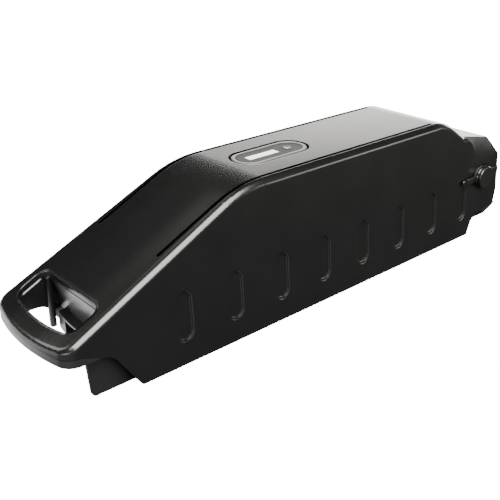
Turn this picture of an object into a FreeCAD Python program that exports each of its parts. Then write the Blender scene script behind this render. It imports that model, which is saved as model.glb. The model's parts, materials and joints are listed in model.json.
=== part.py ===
import FreeCAD, Part
import Sketcher

import os
import re

# Down-tube battery pack with a carrying handle. Millimetres, +Z up, X along the pack with the handle
# at -X, Y across it. The origin is the middle of the underside.

DIMS = {
    # Outside of the moulded case, in side view
    "half_length": 198.2, "height": 95.5, "half_width": 42.8, "side_slope": 0.0764, "wall": 2.5,
    "bend_x": -68.6, "bend_round": 80.0, "slope_rise": 0.4736, "roll_x": 126.6, "roll_round": 35.0,
    "tail_x": 148.7, "tail_z": 79.8, "nose_x": 182.2, "nose_z": 73.3, "end_top": 58.0, "end_low": 27.0,
    "end_foot_x": 195.5, "end_foot_z": 18.0, "shoulder_x": 167.5, "shoulder_z": 15.2,
    "step_x": 161.1, "step_z": 8.6, "heel_x": 157.2, "toe_x": -149.9, "under_x": -167.1, "under_z": 26.5,
    "edge_round": 4.5, "small_round": 3.0, "cut_round": 12.0, "bow_round": 140.0, "corner_round": 10.0,
    "facet_z": 60.5, "facet_slope": 0.2667, "ridge_x": 158.5, "ridge_z": 72.3, "ridge_foot_x": 166.2,
    # Handle ring and finger hole
    "bar_depth": 10.4, "hole_back": -165.3, "hole_half": 30.2, "hole_round": 6.0, "rim_z": 47.3,
    "pocket_foot_x": -158.0, "pocket_foot_z": 22.8, "band_top": 31.0, "band_end_x": -172.0,
    "band_knee_x": -184.0, "reveal": 0.3, "post_x": -164.5, "post_y": 29.2, "post_round": 2.1,
    "post_foot": 12.0,
    # Ribs, grooves and panel seat
    "rib_first": -117.8, "rib_pitch": 38.0, "rib_z": 30.2, "rib_half_height": 15.2, "rib_half": 5.3,
    "rib_depth": 1.3, "groove_y": 30.0, "groove_width": 2.2, "groove_depth": 1.5,
    "groove_front": -127.2, "groove_back": 113.0, "panel_x": -16.4, "seat_half": 30.5, "seat_round": 13.25,
    "seat_depth": 1.3, "bezel_half": 28.9, "bezel_round": 11.65, "lens_half": 26.0, "lens_round": 9.0,
    "ledge_half": 24.6, "ledge_round": 7.6, "fit_gap": 0.15, "lens_top": 0.35,
    "window_x": -23.0, "window_half": 12.4, "window_width": 5.8, "button_x": -0.8, "button_round": 3.0,
    "button_gap": 0.3, "button_travel": 0.6, "stem_round": 1.6,
    # Tray that closes the underside
    "channel_half": 32.0, "channel_top": 11.5, "flange": 2.5, "tray_floor": 2.5, "tray_half": 38.4,
    "tray_front": -158.0, "flange_front": -147.0, "latch_front": -165.0, "latch_bow": 124.0,
    "latch_top": 22.5, "latch_half": 26.0, "slot_half": 15.0, "slot_back": -152.5, "slot_foot": 13.0,
    "slot_top": 21.0, "guard_x": -177.0, "guard_lean": 2.2, "guard_wall": 2.2, "guard_top": 26.2,
    "guard_step_x": -171.7, "guard_step_z": 22.2, "tray_rear": 157.5, "striker": 2.0, "bolt_round": 3.6,
    "bolt_depth": 6.0, "bay_half": 24.0, "bay_top": 14.0, "pod_z": 6.0, "pod_foot_y": 34.0,
    "pod_head_y": 41.0, "pod_top": 17.4, "pod_end": 195.3, "vent_x": 172.0, "vent_length": 13.0,
    "vent_z": 9.2, "vent_width": 2.4,
    # Fastenings
    "boss_y": 37.0, "boss_round": 2.7, "boss_top": 26.0, "screw_round": 1.25, "screw_length": 12.0,
    "head_round": 2.2, "head_height": 1.6, "pilot_gap": 0.05, "striker_grip": 5.0, "gasket_thick": 1.0,
    # Charging inlet
    "inlet_x": 172.2, "inlet_z": 44.5, "inlet_seat_y": 38.6, "inlet_seat": 10.0, "inlet_hole": 6.6,
    "inlet_barrel": 6.5, "inlet_depth": 15.0, "inlet_flange": 8.0, "flange_thick": 1.2,
    "inlet_bore": 3.4, "bore_depth": 11.0, "pin_round": 1.0, "pin_sunk": 4.0, "nut_round": 9.0,
    "nut_thick": 2.5, "cap_round": 8.7, "cap_thick": 4.6, "cap_gap": 0.3, "plug_round": 2.6,
    "plug_length": 2.4, "strap_x": 151.0, "strap_width": 5.0, "strap_thick": 1.4, "anchor_x": 148.4,
    "anchor_round": 1.5, "anchor_head": 2.4, "anchor_length": 6.4, "tab_length": 4.0, "seal_thick": 0.3,
    "nut_y": 35.9, "strap_gap": 0.3,
    # Discharge connector
    "plug_x": 137.0, "plug_half": 19.0, "plug_low": 1.0, "blade_pitch": 7.0,
    "blade_slot": 4.6, "blade_tall": 6.6, "blade_thick": 0.8, "plug_screw_x": 140.0, "plug_screw": 10.8,
    "lead_x": 148.0, "lead_hole": 4.0,
    # Cells and holders
    "cell_round": 9.2, "cell_half": 32.5, "cell_pitch": 20.3, "row_rise": 17.6, "row_x": -135.0,
    "row_z": 26.3, "cap_radius": 3.2, "cap_height": 0.4, "can_gap": 0.15, "holder_deep": 9.0,
    "window_round": 6.6, "holder_lip": 1.2, "strip_width": 7.0, "strip_thick": 0.2,
    "sheet_thick": 0.3, "foam": 1.1,
    # Electronics
    "bms_x": 146.0, "bms_half": 29.0, "bms_low": 20.0, "bms_high": 66.0, "board": 1.6,
    "sink": 3.0, "mosfet": 4.6, "board_z": 90.4, "led_top": 92.4, "board_half": 24.0, "board_width": 7.0,
    "lead_round": 1.3, "fuse_x": 174.0, "fuse_z": 27.0, "fuse_round": 4.6, "fuse_half": 15.0,
}
RIBS = 8
BLADES = 5
CELLS_IN_ROW = (14, 14, 12, 10)
# How many half pitches each row of cells starts behind the first cell of the bottom row.
ROW_SHIFT = (0, -1, 4, 7)
# Rib gaps that hold a case screw, counted from the first rib.
SCREW_GAPS = (-0.5, 1.5, 3.5, 5.5, 6.5)
STRIKER_Y = (-10.5, 10.5)
PLUG_SCREW_Y = (-12, 12)
MOSFETS = 6
LEDS = 5

doc = FreeCAD.newDocument("battery_pack")
sheet = doc.addObject("Spreadsheet::Sheet", "Dim")
for row, (name, size) in enumerate(DIMS.items(), start=1):
    sheet.set(f"A{row}", name)
    sheet.set(f"B{row}", str(size))
    sheet.setAlias(f"B{row}", name)
scratch = doc.addObject("Spreadsheet::Sheet", "Scratch")
doc.recompute()

ALIAS = re.compile(r"\b(" + "|".join(DIMS) + r")\b")
PLANES = {"XY": "XY_Plane", "XZ": "XZ_Plane", "YZ": "YZ_Plane"}
TURNS = {
    "x": FreeCAD.Rotation(FreeCAD.Vector(0, 1, 0), 90),
    "y": FreeCAD.Rotation(FreeCAD.Vector(1, 0, 0), -90),
    "z": FreeCAD.Rotation(),
}
kept = []


def cells(expression):
    """An expression with every driving dimension's name turned into its cell of the sheet."""
    return ALIAS.sub(r"Dim.\1", str(expression))


def number(expression):
    """An expression's value, worked out in a scratch sheet."""
    scratch.set("A1", "=" + cells(expression))
    scratch.recompute()
    return float(scratch.get("A1"))


def bind(thing, **sizes):
    """Bind properties of a document object to expressions on the sheet."""
    for name, expression in sizes.items():
        thing.setExpression(name, cells(expression))
    return thing


def place(thing, x, y, z, axis="z"):
    """Turn an object's own Z along an axis and bind its position to the sheet."""
    thing.Placement = FreeCAD.Placement(FreeCAD.Vector(), TURNS[axis])
    for letter, expression in zip("xyz", (x, y, z)):
        thing.setExpression(f".Placement.Base.{letter}", cells(expression))
    return thing


def box(label, x, y, z, length, width, tall):
    """A box given by its lowest corner and its three sides."""
    thing = bind(doc.addObject("Part::Box", label), Length=length, Width=width, Height=tall)
    return place(thing, x, y, z)


def rod(label, axis, x, y, z, radius, length):
    """A cylinder along an axis, given by the middle of its first end."""
    return place(bind(doc.addObject("Part::Cylinder", label), Radius=radius, Height=length), x, y, z, axis)


def fused(label, *members):
    """One solid from several that touch."""
    thing = doc.addObject("Part::MultiFuse", label)
    thing.Shapes = list(members)
    thing.Refine = True
    return thing


def cut(label, base, *tools):
    """A solid with others taken out of it."""
    thing = doc.addObject("Part::Cut", label)
    thing.Base = base
    thing.Tool = tools[0] if len(tools) == 1 else fused(label + "_tools", *tools)
    thing.Refine = True
    return thing


def cut_each(label, base, *tools):
    """A solid with others taken out of it one after the other."""
    for index, tool in enumerate(tools[:-1]):
        base = cut(f"{label}_step{index}", base, tool)
    return cut(label, base, tools[-1])


def shared(label, *members):
    """The space that several solids share."""
    thing = doc.addObject("Part::MultiCommon", label)
    thing.Shapes = list(members)
    return thing


def group(label, *members):
    """Separate solids that count as one piece."""
    thing = doc.addObject("Part::Compound", label)
    thing.Links = list(members)
    return thing


def mirrored(label, source):
    """The same solid on the other side of the pack's middle plane."""
    thing = doc.addObject("Part::Mirroring", label)
    thing.Source = source
    thing.Normal = FreeCAD.Vector(0, 1, 0)
    return thing


def both_sides(label, source):
    """A solid and its mirror image as one piece."""
    return group(label, source, mirrored(label + "_twin", source))


def pill(label, x, half, radius, z, tall):
    """An upright plate with a stadium outline, its straight sides along X."""
    return fused(
        label,
        box(label + "_bar", f"{x} - ({half}) + ({radius})", f"-({radius})", z,
            f"2 * (({half}) - ({radius}))", f"2 * ({radius})", tall),
        rod(label + "_front", "z", f"{x} - ({half}) + ({radius})", 0, z, radius, tall),
        rod(label + "_back", "z", f"{x} + ({half}) - ({radius})", 0, z, radius, tall),
    )


def slab(label, plane, corners, start, thick, rounds=()):
    """A sketched polygon padded along its plane's axis; rounds pairs corner numbers with a radius."""
    body = doc.addObject("PartDesign::Body", label)
    sketch = body.newObject("Sketcher::SketchObject", label + "_outline")
    origin = [f for f in body.Origin.OriginFeatures if f.Role == PLANES[plane]][0]
    sketch.AttachmentSupport = [(origin, "")]
    sketch.MapMode = "FlatFace"
    # The XZ plane faces -Y, so its pad is offset from the far face.
    offset = f"-(({start}) + ({thick}))" if plane == "XZ" else start
    sketch.setExpression(".AttachmentOffset.Base.z", cells(offset))
    count = len(corners)
    spots = [FreeCAD.Vector(number(across), number(up), 0) for across, up in corners]
    for index in range(count):
        sketch.addGeometry(Part.LineSegment(spots[index], spots[(index + 1) % count]), False)
    for index in range(count):
        sketch.addConstraint(Sketcher.Constraint("Coincident", index, 2, (index + 1) % count, 1))
    for index, (across, up) in enumerate(corners):
        for kind, expression, size in (("DistanceX", across, spots[index].x),
                                       ("DistanceY", up, spots[index].y)):
            made = sketch.addConstraint(Sketcher.Constraint(kind, -1, 1, index, 1, size))
            sketch.setExpression(f"Constraints[{made}]", cells(expression))
    pad = body.newObject("PartDesign::Pad", label + "_pad")
    pad.Profile = sketch
    bind(pad, Length=thick)
    doc.recompute()
    for turn, (chosen, radius) in enumerate(rounds):
        tip = body.Tip
        names = [upright_edge(tip.Shape, plane, spots[index]) for index in chosen]
        fillet = body.newObject("PartDesign::Fillet", f"{label}_round{turn}")
        fillet.Base = (tip, names)
        bind(fillet, Radius=radius)
        doc.recompute()
    return body


def upright_edge(shape, plane, spot):
    """The name of the straight edge that stands on a sketch corner."""
    across, up = {"XY": ("x", "y"), "XZ": ("x", "z"), "YZ": ("y", "z")}[plane]
    for index, edge in enumerate(shape.Edges, start=1):
        ends = [vertex.Point for vertex in edge.Vertexes]
        if all(abs(getattr(p, across) - spot.x) < 1e-4 and abs(getattr(p, up) - spot.y) < 1e-4
               for p in ends):
            return f"Edge{index}"
    raise RuntimeError(f"no edge stands at {spot}")


def keep(label, thing):
    """Give a finished sub-part its name and list it for export."""
    thing.Label = label
    kept.append(thing)
    return thing


def case_profile(label, thick, drop="0"):
    """The pack's side view, padded both ways from the middle plane and lowered by drop."""
    corners = [
        ("-half_length", f"under_z - {drop}"), ("under_x", f"under_z - {drop}"),
        ("toe_x", f"-({drop})"), ("heel_x", f"-({drop})"), ("step_x", f"step_z - {drop}"),
        ("shoulder_x", f"shoulder_z - {drop}"), ("end_foot_x", f"end_foot_z - {drop}"),
        ("half_length", f"end_low - {drop}"), ("half_length", f"end_top - {drop}"),
        ("nose_x", f"nose_z - {drop}"), ("tail_x", f"tail_z - {drop}"), ("roll_x", f"height - {drop}"),
        ("bend_x", f"height - {drop}"),
        ("-half_length", f"height - (half_length + bend_x) * slope_rise - {drop}"),
    ]
    rounds = [((12,), "bend_round"), ((11,), "roll_round"), ((1,), "cut_round"),
              ((2, 7, 8, 9), "small_round"), ((4, 5), "small_round"), ((10,), "small_round")]
    return slab(label, "XZ", corners, f"-({thick}) / 2", thick, rounds)


def side_section(label, inset, low="-5", high="height + 5"):
    """The space between the two leaning side walls, each moved inwards by inset."""
    corners = [(f"{side}(half_width - {inset} - ({level}) * side_slope)", level)
               for side, level in (("-", low), ("", low), ("", high), ("-", high))]
    return slab(label, "YZ", corners, "-half_length - 5", "2 * half_length + 10")


def end_facet(label, inset):
    """What the leaning facets take off both sides of the end block, moved inwards by inset."""
    side = slab(label + "_side", "XZ", [
        (f"tail_x - {inset}", "tail_z + 1.5"), (f"ridge_x - {inset}", "ridge_z"),
        (f"ridge_foot_x - {inset}", "facet_z"), ("half_length + 5", "facet_z"),
        ("half_length + 5", "height"), (f"tail_x - {inset}", "height")], "-50", "100")
    foot = f"half_width - facet_z * side_slope - {inset}"
    wedge = slab(label + "_wedge", "YZ", [
        (foot, "facet_z"), (f"{foot} - (height - facet_z) * facet_slope", "height"), ("50", "height"),
        ("50", "facet_z")], "100", "120")
    return shared(label, side, both_sides(label + "_wedges", wedge))


def rounded(label, base, chosen, radius):
    """Fillet the edges whose middle point and length the chosen test accepts."""
    doc.recompute()
    thing = doc.addObject("Part::Fillet", label)
    thing.Base = base
    size = number(radius)
    found = []
    for index, edge in enumerate(base.Shape.Edges, start=1):
        middle = edge.valueAt((edge.FirstParameter + edge.LastParameter) / 2)
        if chosen(middle, edge.Length):
            found.append((index, size, size))
    if not found:
        raise RuntimeError(f"{label} has no edge to round")
    thing.Edges = found
    doc.recompute()
    return thing


def outer_form():
    """The case's outside with its handle, before anything is taken out of it."""
    side = case_profile("side_view", "3 * half_width")
    section = side_section("cross_section", "0")
    plan = fused("plan_view", rod("front_bow", "z", "bow_round - half_length", 0, -10, "bow_round",
                                  "height + 20"),
                 box("rear_plan", "-bow_round", "-2 * half_width", -10, "bow_round + half_length + 5",
                     "4 * half_width", "height + 20"))
    block = shared("case_block", side, section, plan)
    height, bend, rise = number("height"), number("bend_x"), number("slope_rise")
    tail, nose, crown = number("tail_x"), number("nose_x"), number("nose_z")
    top_half = number("half_width - height * side_slope") - 1

    def front_corner(spot, length):
        return spot.x < tail - nose - 155 and length < 12 and 28 < spot.z < 34 and abs(spot.y) > 40

    def top_rim(spot, length):
        if spot.x > nose + 1 or length < 0.01:
            return False
        line = min(height, height + (spot.x - bend) * rise)
        front = spot.x < bend + 9 and abs(spot.z - line) < 2.4 and spot.z > 33
        rear = spot.x >= bend + 8 and spot.z > crown - 3.3
        return (front or rear) and (abs(spot.y) > top_half or spot.x < -190)

    corners = rounded("case_corners", block, front_corner, "corner_round")
    edges = rounded("case_edges", corners, top_rim, "edge_round")
    return cut("case_outside", edges, end_facet("facet", "0"))


def cavity():
    """The hollow of the case, open below, with the leaning pocket wall at its front."""
    front, foot = "hole_back + 1.1 * wall", "pocket_foot_z - 2 * fit_gap"
    side = slab("cavity_side", "XZ", [
        ("band_end_x", "-1"), ("end_foot_x - wall", "-1"), ("end_foot_x - wall", "end_foot_z"),
        ("half_length - wall", "end_low"), ("half_length - wall", "end_top - wall / 2"),
        ("nose_x - wall / 2", "nose_z - wall"), ("tail_x - wall / 2", "tail_z - 1.2 * wall"),
        ("roll_x - wall / 3", "height - wall"), ("bend_x + wall / 4", "height - wall"),
        (front, f"height + ({front} - bend_x) * slope_rise - 1.11 * wall"),
        ("pocket_foot_x + 1.1 * wall", foot), ("band_end_x", foot)],
        "-half_width", "2 * half_width", [((8,), "bend_round - wall"), ((7,), "roll_round - wall")])
    hollow = shared("cavity_form", side, side_section("cavity_section", "wall", "-6"))
    return cut("cavity_space", hollow, end_facet("inner_facet", "wall"))


def finger_hole():
    """The opening inside the handle ring, and the pocket behind it."""
    window = shared("ring_window", rod("ring_bow", "z", "bow_round - half_length", 0, "channel_top",
                                       "bow_round - bar_depth", "height"),
                    box("ring_box", "-half_length", "-hole_half", "channel_top",
                        "half_length + hole_back", "2 * hole_half", "height"))
    ring = rounded("ring_opening", window, lambda spot, length: length > number("height - 1") and
                   abs(spot.y) > number("hole_half - 1"), "hole_round")
    pocket = slab("ring_pocket", "XZ", [
        ("band_end_x - 4", "channel_top"), ("pocket_foot_x", "channel_top"),
        ("pocket_foot_x", "pocket_foot_z"), ("hole_back", "rim_z"), ("band_end_x - 4", "rim_z - 5")],
        "-hole_half", "2 * hole_half")
    return [ring, pocket]


def band_form(label, gap):
    """The wedge of the handle ring that the lower band takes up, raised by gap."""
    return slab(label, "XZ", [
        ("-half_length - 5", "under_z - 5"), (f"band_end_x + {gap}", "under_z - 5"),
        (f"band_end_x + {gap}", "under_z"), (f"band_knee_x + {gap}", f"band_top + {gap}"),
        ("-half_length - 5", f"band_top + {gap}")], "-2 * half_width", "4 * half_width")


def rib_tools():
    """The row of upright recesses in both side walls."""
    pills = []
    for index in range(RIBS):
        x, straight = f"rib_first + {index} * rib_pitch", "rib_half_height - rib_half"
        pills.append(fused(
            f"rib{index}",
            box(f"rib{index}_bar", f"{x} - rib_half", "-2 * half_width", f"rib_z - ({straight})",
                "2 * rib_half", "4 * half_width", f"2 * ({straight})"),
            *[rod(f"rib{index}_end{end}", "y", x, "-2 * half_width", f"rib_z + {sign} * ({straight})",
                  "rib_half", "4 * half_width") for end, sign in enumerate((-1, 1))]))
    return cut("ribs", group("rib_pills", *pills), side_section("rib_core", "rib_depth"))


def groove_tools():
    """The two thin grooves that follow the slope, the bend and the top."""
    lanes = [box(f"groove_lane{lane}", "groove_front", f"{sign} * groove_y - groove_width / 2",
                 "height / 2", "groove_back - groove_front", "groove_width", "height")
             for lane, sign in enumerate((-1, 1))]
    return cut("grooves", group("groove_lanes", *lanes),
               case_profile("groove_floor", "2 * half_width", "groove_depth"))


def screw_spots():
    """The places of the case screws, as pairs of expressions."""
    return [(f"rib_first + {gap} * rib_pitch", f"{sign} * boss_y")
            for gap in SCREW_GAPS for sign in (-1, 1)]


def upper_case():
    """The moulded shell with its handle ring, ribs, grooves, panel seat and screw bosses."""
    outside = outer_form()
    finger = finger_hole()
    hollow = cut_each("case_shell", outside, cavity(), band_form("band_room", "reveal"), *finger)
    posts = [rod(f"post{side}", "z", "post_x", f"{sign} * post_y", "post_foot", "post_round",
                 "rim_z - post_foot") for side, sign in enumerate((-1, 1))]
    floor = "channel_top + tray_floor + 2 * fit_gap"
    bosses = [rod(f"boss{index}", "z", x, y, floor, "boss_round", f"boss_top - ({floor})")
              for index, (x, y) in enumerate(screw_spots())]
    pilots = [rod(f"pilot{index}", "z", x, y, floor, "screw_round + pilot_gap", f"boss_top - ({floor}) - 1")
              for index, (x, y) in enumerate(screw_spots())]
    inlet = [
        rod("inlet_seat_cut", "y", "inlet_x", "-inlet_seat_y - 10", "inlet_z", "inlet_seat", "10"),
        rod("inlet_hole_cut", "y", "inlet_x", "-half_width", "inlet_z", "inlet_hole", "15"),
        rod("anchor_hole", "y", "anchor_x", "-half_width", "inlet_z", "anchor_round + fit_gap", "12"),
    ]
    seat = pill("panel_seat", "panel_x", "seat_half", "seat_round", "height - seat_depth", "5")
    ledge = pill("panel_ledge", "panel_x", "ledge_half", "ledge_round", "height - 2 * wall", "3 * wall")
    whole = fused("case_with_bosses", hollow, *posts, *bosses)
    keep("upper_case", cut_each("upper_case", whole, *pilots, rib_tools(), groove_tools(), seat, ledge,
                                *inlet))
    band = shared("band_block", outside, band_form("band_wedge", "0"))
    keep("handle_band", cut_each("handle_band", band, *finger))


def base_tray():
    """The tray that closes the underside, with rails, latch wall, guard plate and rear pods."""
    side = "channel_half + flange"
    level = "channel_top + tray_floor"
    flange = box("flange", "flange_front", "channel_half", 0, "tray_rear - flange_front", "flange", level)
    latch = shared("latch_block",
                   rod("latch_bow_form", "z", "latch_front + latch_bow", 0, "channel_top", "latch_bow",
                       "latch_top - channel_top"),
                   box("latch_box", "latch_front - 1", "-latch_half", "channel_top",
                       "flange_front - latch_front + 2", "2 * latch_half", "latch_top - channel_top"))
    guard = slab("guard_plate", "XZ", [
        ("guard_x", "0"), ("flange_front + 1", "0"), ("flange_front + 1", "guard_step_z"),
        ("guard_step_x", "guard_step_z"), ("guard_step_x", "guard_top"),
        ("guard_x - guard_lean", "guard_top")], f"-({side})", "guard_wall", [((0,), "small_round")])
    step = box("step_wall", "tray_rear - flange", "-tray_half", 0, "flange", "2 * tray_half",
               "bay_top + tray_floor")
    roof = box("bay_roof", "tray_rear - 1", "-bay_half - flange", "bay_top", "pod_end - tray_rear + 1",
               "2 * (bay_half + flange)", "tray_floor")
    lip = box("rear_lip", "end_foot_x - wall - reveal - flange", "-bay_half - flange", "bay_top", "flange",
              "2 * (bay_half + flange)", "end_foot_z + 2 - bay_top")
    section = slab("pod_section", "YZ", [
        ("bay_half", "pod_z"), ("pod_foot_y", "pod_z"), ("pod_head_y", "pod_top"),
        ("bay_half", "pod_top")], "tray_rear - 1", "pod_end - tray_rear + 1")
    under_edge = slab("pod_outline", "XZ", [
        ("step_x + 1.2", "0"), ("step_x + 1.2", "step_z + 0.3"), ("shoulder_x + 0.6", "shoulder_z - 0.6"),
        ("pod_end", "pod_top"), ("pod_end", "pod_z + 7"), ("pod_end - 5", "0")], "bay_half", "half_width")
    inner_part = box("pod_inner", "tray_rear - 1", "bay_half", "pod_z", "step_x + 2.2 - tray_rear",
                     "pod_foot_y - bay_half", "pod_top - pod_z")
    pod = fused("pod", shared("pod_outer", section, under_edge), inner_part)
    hollow = slab("pod_hollow", "YZ", [
        ("bay_half + flange", "pod_z + 2.2"), ("pod_foot_y - 1", "pod_z + 2.2"),
        ("pod_head_y - 2.8", "pod_top - 0.4"), ("pod_head_y - 2.8", "pod_top + 1"),
        ("bay_half + flange", "pod_top + 1")], "tray_rear + flange", "pod_end - tray_rear - 2 * flange")
    vent = box("pod_vent", "vent_x", "pod_foot_y", "vent_z", "vent_length", "10", "vent_width")
    floor = [
        box("floor_plate", "flange_front", "-tray_half", "channel_top", "tray_rear - flange_front",
            "2 * tray_half", "tray_floor"),
        box("floor_front", "tray_front", f"-({side})", "channel_top", "flange_front - tray_front + 1",
            f"2 * ({side})", "tray_floor"),
    ]
    body = fused("tray_body", *floor, flange, mirrored("flange_twin", flange), latch, guard, step, roof, lip,
                 pod, mirrored("pod_twin", pod))
    middle = "(slot_foot + slot_top) / 2"
    tools = [
        box("latch_slot", "latch_front - 5", "-slot_half", "slot_foot", "slot_back - latch_front + 5",
            "2 * slot_half", "slot_top - slot_foot"),
        rod("bolt_pocket", "x", "slot_back - 1", 0, middle, "bolt_round + 0.8", "bolt_depth + 1"),
        box("plug_window", "tray_rear - flange - 1", "-plug_half - fit_gap", "plug_low - fit_gap",
            "flange + 2", "2 * (plug_half + fit_gap)", "channel_top - plug_low + fit_gap"),
        rod("lead_hole", "z", "lead_x", 0, "channel_top - 1", "lead_hole", "tray_floor + 2"),
        hollow, mirrored("hollow_twin", hollow), vent, mirrored("vent_twin", vent),
    ]
    tools += [rod(f"screw_hole{index}", "z", x, y, "channel_top - 1", "screw_round + 0.3",
                  "tray_floor + 2") for index, (x, y) in enumerate(screw_spots())]
    tools += [rod(f"striker_hole{index}", "x", "slot_back - 1", y, middle,
                  "screw_round + pilot_gap", "striker_grip + 2") for index, y in enumerate(STRIKER_Y)]
    tools += [rod(f"plug_pilot{index}", "z", "plug_screw_x", y, "channel_top - 1",
                  "screw_round + pilot_gap", "tray_floor + 2") for index, y in enumerate(PLUG_SCREW_Y)]
    keep("base_tray", cut_each("base_tray", body, *tools))


def screw(label, axis, x, y, z, length):
    """A pan-head screw, its head's outer face at the point given and its shank along the axis."""
    head = rod(label + "_head", axis, x, y, z, "head_round", "head_height")
    shank = rod(label + "_shank", axis, x, y, z, "screw_round", f"{length} + head_height")
    return fused(label, head, shank)


def latch_parts():
    """The striker plate behind the latch slot and the screws that hold the tray together."""
    middle = "(slot_foot + slot_top) / 2"
    plate = box("striker_plate", "slot_back - striker", "-slot_half + fit_gap", "slot_foot + fit_gap",
                "striker", "2 * (slot_half - fit_gap)", "slot_top - slot_foot - 2 * fit_gap")
    holes = [rod("bolt_hole", "x", "slot_back - striker - 1", 0, middle, "bolt_round", "striker + 2")]
    holes += [rod(f"plate_hole{index}", "x", "slot_back - striker - 1", y, middle, "screw_round + 0.2",
                  "striker + 2") for index, y in enumerate(STRIKER_Y)]
    keep("latch_striker", cut("latch_striker", plate, *holes))
    keep("striker_screws", group("striker_screws", *[
        screw(f"striker_screw{index}", "x", "slot_back - striker - head_height", y, middle,
              "striker + striker_grip") for index, y in enumerate(STRIKER_Y)]))
    keep("case_screws", group("case_screws", *[
        screw(f"case_screw{index}", "z", x, y, "channel_top - head_height", "screw_length")
        for index, (x, y) in enumerate(screw_spots())]))


def gasket():
    """The silicone frame between the tray's rim and the case."""
    level = "channel_top + tray_floor"
    frame = box("gasket_frame", "flange_front + 1", "-tray_half + fit_gap", level,
                "tray_rear - flange_front - flange - 1.5", "2 * (tray_half - fit_gap)", "gasket_thick")
    inside = box("gasket_inside", "flange_front + 5", "-channel_half - 1.6", f"{level} - 1",
                 "tray_rear - flange_front - flange - 9.5", "2 * (channel_half + 1.6)", "gasket_thick + 2")
    rooms = [rod(f"gasket_room{index}", "z", x, y, f"{level} - 1", "boss_round + fit_gap",
                 "gasket_thick + 2") for index, (x, y) in enumerate(screw_spots())]
    keep("case_gasket", cut("case_gasket", frame, inside, *rooms))


def panel():
    """The oval display panel with its bezel, lens, window, button and the board under it."""
    foot = "height - seat_depth"
    keep("panel_bezel", cut(
        "panel_bezel", pill("bezel_plate", "panel_x", "bezel_half", "bezel_round", foot, "seat_depth"),
        pill("bezel_inside", "panel_x", "lens_half + fit_gap", "lens_round + fit_gap", f"{foot} - 1",
             "seat_depth + 2")))
    window = ("window_x - window_half", "-window_width / 2", "2 * window_half", "window_width")
    keep("display_lens", cut(
        "display_lens",
        pill("lens_plate", "panel_x", "lens_half", "lens_round", foot, "seat_depth - lens_top"),
        rod("button_hole", "z", "button_x", 0, f"{foot} - 1", "button_round + button_gap", "seat_depth + 2"),
        box("window_hole", window[0], window[1], f"{foot} - 1", window[2], window[3], "seat_depth + 2")))
    keep("charge_window", box(
        "charge_window", f"{window[0]} + fit_gap / 2", f"{window[1]} + fit_gap / 2", "led_top + 0.5",
        f"{window[2]} - fit_gap", f"{window[3]} - fit_gap", "height - lens_top - led_top - 0.5"))
    keep("power_button", fused(
        "power_button",
        rod("button_cap", "z", "button_x", 0, f"{foot} + fit_gap", "button_round", "seat_depth - fit_gap"),
        rod("button_stem", "z", "button_x", 0, "led_top + button_travel + fit_gap", "stem_round",
            f"{foot} + 2 * fit_gap - led_top - button_travel")))
    keep("display_board", box("display_board", "panel_x - board_half", "-board_width", "board_z",
                              "2 * board_half", "2 * board_width", "led_top - 0.8 - board_z"))
    keep("display_leds", group("display_leds", *[
        box(f"led{index}", f"window_x + {index - LEDS // 2} * window_half / 2.7 - 1.5", "-0.8",
            "led_top - 0.8", "3", "1.6", "0.8") for index in range(LEDS)]))
    keep("tact_switch", box("tact_switch", "button_x - 2", "-2", "led_top - 0.8", "4", "4", "0.8"))


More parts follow.
